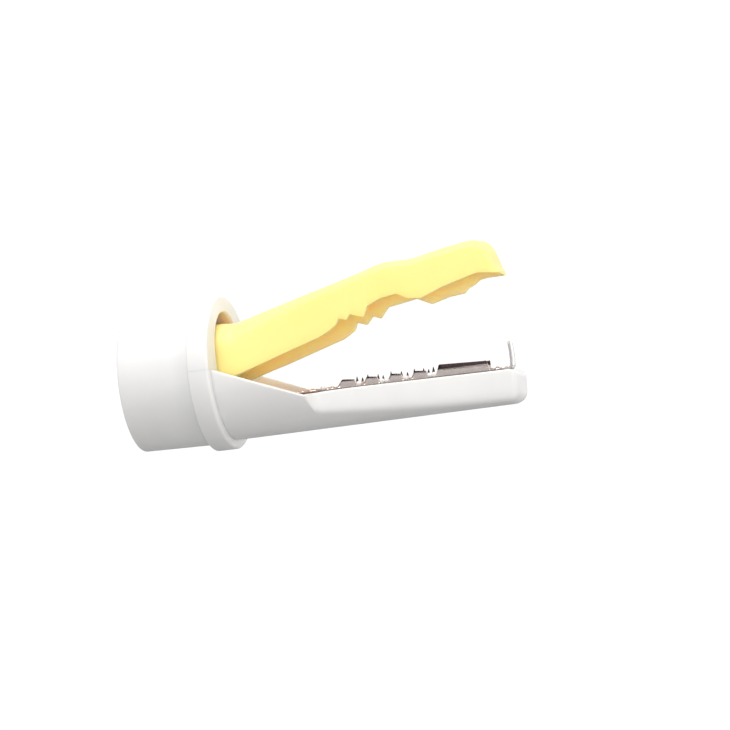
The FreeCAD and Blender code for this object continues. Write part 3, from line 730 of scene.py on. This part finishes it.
def trough_rings():
    """Cross-sections from the collar to the tip, closer together where the shape changes quickly."""
    end = JAW_LENGTH - JAW_WALL
    rings = [jaw_ring(place, rail=False) for place in stations(-0.08, STRIP_START, 0.8)]
    places = [STRIP_START] + stations(STRIP_START + 0.3, SHOULDER - 0.5, 0.4)
    places += stations(SHOULDER - 0.4, SHOULDER + 1.0, 0.1) + stations(SHOULDER + 1.2, RAIL_END, 0.8)
    rings += [jaw_ring(place) for place in places]
    rings += [jaw_ring(place, rail=False) for place in (RAIL_END + 0.03, RAIL_END + 0.25, end)]
    for i in range(13):
        place = end + JAW_WALL * math.sin(math.pi / 2 * i / 12)
        rings.append(jaw_ring(place, rail=False, hollow=False))
    return rings


def jaw_body():
    verts, faces = [], []
    loft(verts, faces, [lower_collar_section(x, COLLAR_R - loss) for x, loss, _ in collar_steps()])
    spigot = [(SPIGOT_BACK, SPRING_FLOOR), (SPRING_ROOM, SPRING_FLOOR), (SPRING_ROOM, HOLLOW_FLOOR),
              (COLLAR_BACK + 0.1, HOLLOW_FLOOR)]
    loft(verts, faces, [lower_spigot_section(x, floor) for x, floor in spigot])
    rings = trough_rings()
    first, count = len(faces), len(rings[0])
    loft(verts, faces, rings)
    rows = sum(1 for ring in rings if ring[0][0] < FACE + SHOULDER + 0.5)
    past_rim = SIDE_STEPS + RIM_STEPS
    # The shoulder's inner faces take the warm copy, whose tint is painted bounce light.
    hollow = [first + row * count + k for row in range(rows) for k in range(past_rim, count - past_rim)]
    piece("lower_jaw", verts, faces, WHITE, "housing", "jaw_body",
          inside=(WHITE_PAINTED_BOUNCE, hollow))


# ---------------------------------------------------------------- upper jaw
def lever_half(place):
    if place <= 0:
        return LEVER_HALF + min(1.0, -place / EAR_RUN) * (EAR_HALF - LEVER_HALF)
    return LEVER_HALF - LEVER_TAPER * place - round_off(place - (LEVER_END - NOSE_ROUND), NOSE_ROUND)


def edge_line(place):
    return EDGE_Z + EDGE_SLOPE * (place - EDGE_PLACE)


def lever_edge(place, grip):
    """z of a wall's lower edge: level under the tail, then a sloping line with the grip's notches."""
    if place < TAIL_END:
        return TAIL_EDGE
    if place < EDGE_START:
        t = (place - TAIL_END) / (EDGE_START - TAIL_END)
        return TAIL_EDGE + t * (edge_line(EDGE_START) - TAIL_EDGE)
    return edge_line(place) + softened(grip, place, 0.16)


def lever_outside(low, half, top, corner):
    """From a wall's outer lower edge up to the roof, on the +Y side."""
    e = LEVER_EDGE
    side = [(half - e, low), (half - 0.3 * e, low + 0.3 * e), (half, low + e)]
    side += between((half, low + e), (half, top - corner), 3)
    return side + arc(half - corner, top - corner, corner, 0, 90, 10)


def lever_inside(low, half, top, corner):
    """From a wall's inner lower edge up to the ceiling, on the +Y side."""
    e = LEVER_EDGE
    corner = min(corner, max(top - low, 0.02) * 0.9)
    top = max(top, low + 0.02)
    side = [(half + e, low), (half + 0.3 * e, low + 0.3 * e), (half, low + min(e, 0.01 + (top - low) * 0.5))]
    side += between((half, low + e), (half, top - corner), 3)
    return side + arc(half - corner, top - corner, corner, 0, 90, 6)


def lever_ring(place, hollow=True):
    """Closed cross-section of the upper jaw, a channel that is open below, or solid in the nose's wall."""
    near, far = lever_edge(place, NEAR_GRIP), lever_edge(place, FAR_GRIP)
    half = lever_half(place)
    top = max(softened(ROOF, place, 0.9 if place > 4.6 else 0.35), max(near, far) + 0.25)
    corner = min(softened(ROOF, place, 0.8, 2), half - 0.1, top - max(near, far))
    roof = between((corner - half, top), (half - corner, top), 7)
    outline = mirrored(lever_outside(near, half, top, corner)) + roof
    outline += lever_outside(far, half, top, corner)[::-1]
    if hollow:
        wall = LEVER_WALL + EAR_EXTRA * smooth((-3 - place) / 3)
        hollow = half - wall, top - LEVER_TOP, max(corner - wall, 0.35)
        far_side = lever_inside(far, *hollow)
        near_side = mirrored(lever_inside(near, *hollow))
        outline += far_side + between(far_side[-1], near_side[-1], 5) + near_side[::-1]
    else:
        outline += between((half - LEVER_EDGE, far), (LEVER_EDGE - half, near), 31)
    return at(FACE + place, outline)


def upper_jaw():
    verts, faces = [], []
    inner_end = LEVER_END - NOSE_WALL
    places = stations(LEVER_TAIL, 18.0, 0.5) + stations(18.1, 48.0, 0.15) + stations(48.1, inner_end, 0.1)
    rings = [lever_ring(place) for place in places]
    rings.append(lever_ring(inner_end + 0.001, hollow=False))
    for i in range(1, 9):
        rings.append(lever_ring(inner_end + NOSE_WALL * math.sin(math.pi / 2 * i / 8), hollow=False))
    loft(verts, faces, rings)
    count = len(rings[0])
    # The lever's inner faces take the copy with the painted orange glow.
    hollow = [row * count + k for row in range(len(places) - 1) for k in range(LEVER_OUTER, count)]
    ring_half, bore, boss = 5.4, 2.05, 2.8
    outline = rounded([(ring_half, bore, 0, 0), (ring_half, boss, 0.15, 2), (EAR_HALF, boss, 0.15, 2),
                       (EAR_HALF, bore, 0, 0)])
    for side in (-1, 1):
        turned(verts, faces, [(side * y, radius) for y, radius in outline], 72, PIVOT, "Y")
    piece("upper_jaw_shell", verts, faces, YELLOW, "lever", "upper_jaw", angle=40,
          inside=(YELLOW_PAINTED_GLOW, hollow))


# ---------------------------------------------------------------- metal strip
def strip_half(place):
    return STRIP_HALF - STRIP_TAPER * (place - STRIP_START)


def near_teeth(place):
    """Height of the near row above the rim: lands with a rising lead and round gullets."""
    root_end, front_start, trail = 20.0, 47.6, 0.45
    if place > front_start:
        return NEAR_GULLET + 0.14 * math.sin(place * 5.2)
    height = NEAR_GULLET + 0.04 * math.sin(place * 2.1)
    if place < root_end:
        height += 0.1 * math.sin(place * 5.3) * math.sin(place * 1.7)
    for start, stop, lead, crest, fall in LANDS:
        if start - lead <= place < start:
            t = (place - start + lead) / lead
            rise = min(1.0, 1.15 * math.sin(t * math.pi / 2) ** 1.3)
            return max(height, NEAR_GULLET + (crest - NEAR_GULLET) * rise)
        if start <= place <= stop:
            return crest - fall * (place - start) / (stop - start)
        if stop < place <= stop + trail:
            end = crest - fall
            return end + (NEAR_GULLET - end) * smooth((place - stop) / trail)
    return height


def far_teeth(place):
    """Height of the far row above the rim: uneven pointed teeth, then the long land."""
    if place > LONG_STOP - 0.6:
        return 0.66 + 0.15 * math.sin(place * 4.0)
    if place > LONG_START:
        return FAR_LAND - 0.03 * (place - LONG_START) + 0.05 * math.sin(place * 6.0)
    height = FAR_GULLET
    for spike, crest in SPIKES:
        reach = 0.5 if place < spike else 0.36
        t = 1 - abs(place - spike) / reach
        if t > 0:
            height = max(height, SPIKE_FOOT + (crest - SPIKE_FOOT) * t**1.15)
    lead = 0.8
    if place >= LONG_START - lead:
        height = max(height, SPIKE_FOOT + (FAR_LAND - SPIKE_FOOT) * (place - LONG_START + lead) / lead)
    return height


def lip_height(place):
    """Height of the outward-leaning lip along the top of the near row, taller on the long land."""
    start, stop = LONG_START - 0.6, LONG_STOP + 0.5
    if start < place < stop:
        return LIP + 0.65 * smooth(place - start) * smooth((stop - place) / 0.6)
    return LIP


def flange(foot, height, lip, lean, edge):
    """One face of an upright side from its top edge down to its bend, on the +Y side.

    edge: the step across the top, towards the middle of the sheet.
    """
    lip = min(lip, 0.5 * (height - STRIP_UNDER - 0.2))
    stem = foot - (TUCK if lip >= 0.2 else 0.0)
    crown = stem + lean * lip
    return [(crown + edge, height), (crown, height - abs(edge)), (stem, height - lip),
            (foot, STRIP_UNDER + 0.3)]


def strip_ring(place):
    """Closed cross-section of the strip: a floor with a toothed upright side on each edge."""
    half = strip_half(place)
    # each upright side's height, and its lip's height and lean
    near = RIM + near_teeth(place), lip_height(place), LIP_LEAN
    far = RIM + far_teeth(place), FAR_LIP, 0.0
    outline = mirrored(flange(half, *near, -STRIP_EDGE))
    outline += arc(STRIP_BEND - half, STRIP_UNDER + STRIP_BEND, STRIP_BEND, 180, 270, 5)
    outline += arc(half - STRIP_BEND, STRIP_UNDER + STRIP_BEND, STRIP_BEND, 270, 360, 5)
    outline += flange(half, *far, -STRIP_EDGE)[::-1]
    inner, fillet = half - SHEET, 0.03
    far_face, near_face = (flange(inner, *side, STRIP_EDGE)[:-1] for side in (far, near))
    for face in (far_face, near_face):
        face += [(inner, min(STRIP_TOP + fillet, face[-1][1])), (inner - fillet, STRIP_TOP)]
    near_face = mirrored(near_face)
    outline += far_face + between(far_face[-1], near_face[-1], 5) + near_face[::-1]
    return at(FACE + place, outline)


def prong_line():
    """Middle line of the prong in side view, as (place, z): flat, bent up, then leaning back."""
    low = RIM + 0.205
    line = [(PRONG_START, low), (PRONG_START + 1.0, low), (PRONG_BEND, low + 0.02)]
    for i in range(1, 8):
        a = math.radians(-90 + 90 * i / 7)
        line.append((PRONG_BEND + 0.66 * math.cos(a), low + 0.64 + 0.62 * math.sin(a)))
    line += [(50.84, RIM + 1.8), (50.82, RIM + 3.0), (50.74, RIM + 4.0), (50.66, RIM + 4.8)]
    line.append((50.64, RIM + PRONG_HEIGHT))
    return resample(line, 44)


def prong(verts, faces):
    """The strip's front end, bent up into a narrow prong with a round top."""
    line = prong_line()
    round_start = PRONG_HEIGHT - 0.55
    thin, thick = PRONG_SHEET - PRONG_EDGE, PRONG_SHEET
    rings = []
    for i, (place, z) in enumerate(line):
        behind, ahead = line[max(i - 1, 0)], line[min(i + 1, len(line) - 1)]
        along = Vector((ahead[0] - behind[0], ahead[1] - behind[1])).normalized()
        rise = z - RIM
        half = PRONG_HALF - 0.25 * smooth((rise + 0.4) / 1.2) - 0.1 * smooth(rise / PRONG_HEIGHT)
        if rise > round_start:
            half *= math.sqrt(max(1 - ((rise - round_start) / PRONG_ROUND) ** 2, 0.04))
        upper = [(-half, thin), (PRONG_EDGE - half, thick), (half - PRONG_EDGE, thick), (half, thin)]
        outline = upper + [(y, -k) for y, k in reversed(upper)]
        rings.append([(FACE + place - along.y * k, y, z + along.x * k) for y, k in outline])
    loft(verts, faces, rings)


def dimple(verts, faces, place):
    """A small pressed dome on the outside of the near row."""
    rings = []
    for i in range(6):
        a = math.pi / 2 * i / 6
        y = 0.05 - strip_half(place) - 0.7 * DIMPLE_R * math.sin(a)
        circle = (2 * math.pi * k / 20 for k in range(20))
        reach = DIMPLE_R * math.cos(a)
        rings.append([(FACE + place + reach * math.cos(b), y, RIM + DIMPLE_RISE + reach * math.sin(b))
                      for b in circle])
    loft(verts, faces, rings)


def blade_strip():
    verts, faces = [], []
    places = stations(STRIP_START, 19.0, 0.3) + stations(19.1, 48.0, 0.07) + stations(48.1, STRIP_END, 0.1)
    loft(verts, faces, [strip_ring(place) for place in places])
    first = len(faces)
    prong(verts, faces)
    for place in DIMPLES:
        dimple(verts, faces, place)
    # The prong and the dimples take the steel with the painted glint.
    piece("toothed_strip", verts, faces, BRIGHT, "housing", "blade_strip", angle=38,
          inside=(PAINTED_GLINT_STEEL, range(first, len(faces))))


def strip_rivets():
    """Rivets with domed heads on the strip and shanks through the jaw's rail."""
    verts, faces = [], []
    low = STRIP_TOP
    shank, head = 0.7, 1.15
    outline = [(low - 2.9, 0.0), (low - 2.9, shank - 0.1), (low - 2.8, shank), (low, shank)]
    outline += [(low, head - 0.05), (low + 0.08, head)]
    for i in range(1, 6):
        a = math.pi / 2 * i / 6
        outline.append((low + 0.1 + 0.3 * math.sin(a), (head - 0.02) * math.cos(a)))
    outline.append((low + 0.4, 0.0))
    for place in RIVETS:
        turned(verts, faces, outline, 40, (FACE + place, 0.0), "Z")
    piece("strip_rivet_heads", verts, faces, STEEL, "housing", "strip_rivets")


# ---------------------------------------------------------------- screws
def cross_radius(angle, reach, half):
    """Radius of a cross-shaped recess at an angle, from the reach and half width of its arms."""
    c, s = max(abs(math.cos(angle)), 1e-6), max(abs(math.sin(angle)), 1e-6)
    return max(min(reach / c, half / s), min(half / c, reach / s))


def housing_screws():
    verts, faces = [], []
    angles = [2 * math.pi * k / 48 for k in range(48)]
    sections = [(x, [cross_radius(a, reach, half) for a in angles]) for x, reach, half in SCREW_RECESS]
    sections += [(x, [radius] * len(angles)) for x, radius in SCREW_BODY]
    for y in (-SCREW_Y, SCREW_Y):
        for z in (PARTING - SCREW_Z, PARTING + SCREW_Z):
            turn = 0.4 * y + z  # each screw stopped at another angle
            rings = []
            for x, radii in sections:
                rings.append([(x, y + radius * math.cos(a + turn), z + radius * math.sin(a + turn))
                              for a, radius in zip(angles, radii)])
            loft(verts, faces, rings)
    piece("screw_heads", verts, faces, STEEL, "housing", "housing_screws")


# ---------------------------------------------------------------- torsion spring
def wire(verts, faces, line, radius):
    """A round wire along a line of points."""
    rings = []
    side = Vector((0, 1, 0))
    for i, point in enumerate(line):
        ahead, behind = line[min(i + 1, len(line) - 1)], line[max(i - 1, 0)]
        along = (ahead - behind).normalized()
        side = (side - along * side.dot(along)).normalized()
        up = along.cross(side)
        circle = (2 * math.pi * k / 16 for k in range(16))
        rings.append([point + (side * math.cos(a) + up * math.sin(a)) * radius for a in circle])
    loft(verts, faces, rings)


def torsion_spring():
    """The coil and its lower leg stay with the housing, and the upper leg turns with the upper jaw."""
    x, z = PIVOT
    end = COIL_TURNS * COIL_PITCH / 2

    def helix(turn):
        a = 2 * math.pi * turn
        return Vector((x + COIL_R * math.cos(a), COIL_PITCH * turn - end, z - COIL_R * math.sin(a)))

    coil = [helix(COIL_TURNS * k / COIL_STEPS) for k in range(COIL_STEPS + 1)]
    foot = Vector((x + 6.5, end, -7.7))
    coil += [coil[-1].lerp(foot, t) for t in (0.06, 0.3, 0.6, 0.94, 1.0)]
    verts, faces = [], []
    wire(verts, faces, coil, WIRE_R)
    piece("spring_coil", verts, faces, STEEL, "housing", "torsion_spring", angle=50)

    top = Vector((x + 8.2, -end, 6.6))
    leg = [helix(0.02)] + [helix(0).lerp(top, t) for t in (0.0, 0.05, 0.3, 0.6, 0.9, 1.0)]
    verts, faces = [], []
    wire(verts, faces, leg, LEG_R)
    piece("spring_upper_leg", verts, faces, STEEL, "lever", None, angle=50)


# ---------------------------------------------------------------- carried-over parts
def carried_over():
    finishes = {
        "rear_bulkhead": WHITE, "drive_plate": STEEL, "pivot_pin": STEEL, "lever_bush_left": DARK_BUSH,
        "lever_bush_right": DARK_BUSH, "spring_sleeve": GREY_NYLON, "stop_pad": RUBBER,
    }
    for name, material in finishes.items():
        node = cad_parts[name]
        node.data.materials.clear()
        node.data.materials.append(material)


# ---------------------------------------------------------------- studio
# Places and sizes are in metres here, and power is in watts.
MIDDLE = (0.035, 0.0, 0.0)  # what the lamps point at


def room():
    """A white room that is dimmer behind the camera and towards the ground."""
    world = bpy.data.worlds.new("studio")
    bpy.context.scene.world = world
    world.use_nodes = True
    nodes, links = world.node_tree.nodes, world.node_tree.links
    nodes.clear()
    split = nodes.new("ShaderNodeSeparateXYZ")
    links.new(nodes.new("ShaderNodeTexCoord").outputs["Generated"], split.inputs[0])
    product = nodes.new("ShaderNodeMath")
    product.operation = "MULTIPLY"
    spans = (("Y", -0.55, 0.35, 0.44, 1.06), ("Z", -0.12, -0.005, 0.14, 1.0))
    for socket, (direction, *limits) in zip(product.inputs, spans):
        span = nodes.new("ShaderNodeMapRange")
        span.interpolation_type = "SMOOTHSTEP"
        for name, value in zip(("From Min", "From Max", "To Min", "To Max"), limits):
            span.inputs[name].default_value = value
        links.new(split.outputs[direction], span.inputs["Value"])
        links.new(span.outputs[0], socket)
    background = nodes.new("ShaderNodeBackground")
    background.inputs["Color"].default_value = (1.0, 1.0, 1.0, 1.0)
    links.new(product.outputs[0], background.inputs["Strength"])
    links.new(background.outputs[0], nodes.new("ShaderNodeOutputWorld").inputs[0])


def softbox(name, place, size, power, colour, reflected=False):
    data = bpy.data.lights.new(name, "AREA")
    data.shape = "RECTANGLE"
    data.size, data.size_y = size
    data.energy = power
    data.color = colour
    lamp = bpy.data.objects.new(name, data)
    lamp.visible_glossy = reflected
    lamp.location = place
    lamp.rotation_euler = (Vector(MIDDLE) - Vector(place)).to_track_quat("-Z", "Y").to_euler()
    bpy.context.scene.collection.objects.link(lamp)


def floor():
    mesh = bpy.data.meshes.new("floor")
    bm = bmesh.new()
    bmesh.ops.create_circle(bm, cap_ends=True, radius=1.1, segments=128)
    bm.to_mesh(mesh)
    bm.free()
    mesh.materials.append(FLOOR_PAPER)
    obj = bpy.data.objects.new("floor", mesh)
    obj.location = (MIDDLE[0], MIDDLE[1], -0.095)
    bpy.context.scene.collection.objects.link(obj)


def studio():
    room()
    softbox("key", (-0.02, -0.26, 0.42), (0.42, 0.36), 1.8, (1.0, 0.985, 0.965), reflected=True)
    softbox("fill", (0.10, -0.62, -0.02), (0.5, 0.26), 1.75, (1.0, 0.99, 0.975))
    softbox("front", (0.50, -0.16, 0.06), (0.3, 0.3), 0.95, (1.0, 0.965, 0.92))
    softbox("back", (0.08, 0.55, -0.03), (0.4, 0.16), 1.7, (1.0, 0.98, 0.96))
    floor()
    view = bpy.context.scene.view_settings
    view.view_transform = "Standard"
    view.look = "None"
    view.exposure = 0.0


def camera():
    """A long lens from slightly below, tilted and moved aside so that the tool stands off centre."""
    azimuth, elevation, roll = (math.radians(a) for a in (15.5, -2.893, -6.199))
    target = Vector((0.035, 0.0, 0.002))
    distance, aside, down = 1.3753, 0.0065, 0.00288
    level = math.cos(elevation)
    back = Vector((math.sin(azimuth) * level, -math.cos(azimuth) * level, math.sin(elevation)))
    right = (-back).cross(Vector((0, 0, 1))).normalized()
    up = right.cross(-back)
    tilted_right = right * math.cos(roll) + up * math.sin(roll)
    tilted_up = up * math.cos(roll) - right * math.sin(roll)
    data = bpy.data.cameras.new("camera")
    data.sensor_width = 36.0
    data.lens = 389.53
    data.clip_start, data.clip_end = 0.05, 20.0
    obj = bpy.data.objects.new("camera", data)
    bpy.context.scene.collection.objects.link(obj)
    turn = obj.matrix_world.to_3x3()
    turn.col[0], turn.col[1], turn.col[2] = tilted_right, tilted_up, back
    obj.matrix_world = turn.to_4x4()
    obj.location = target + back * distance + tilted_right * aside - tilted_up * down
    bpy.context.scene.camera = obj


body_tube()
jaw_body()
collar_cap()
upper_jaw()
blade_strip()
strip_rivets()
housing_screws()
torsion_spring()
carried_over()
studio()
camera()
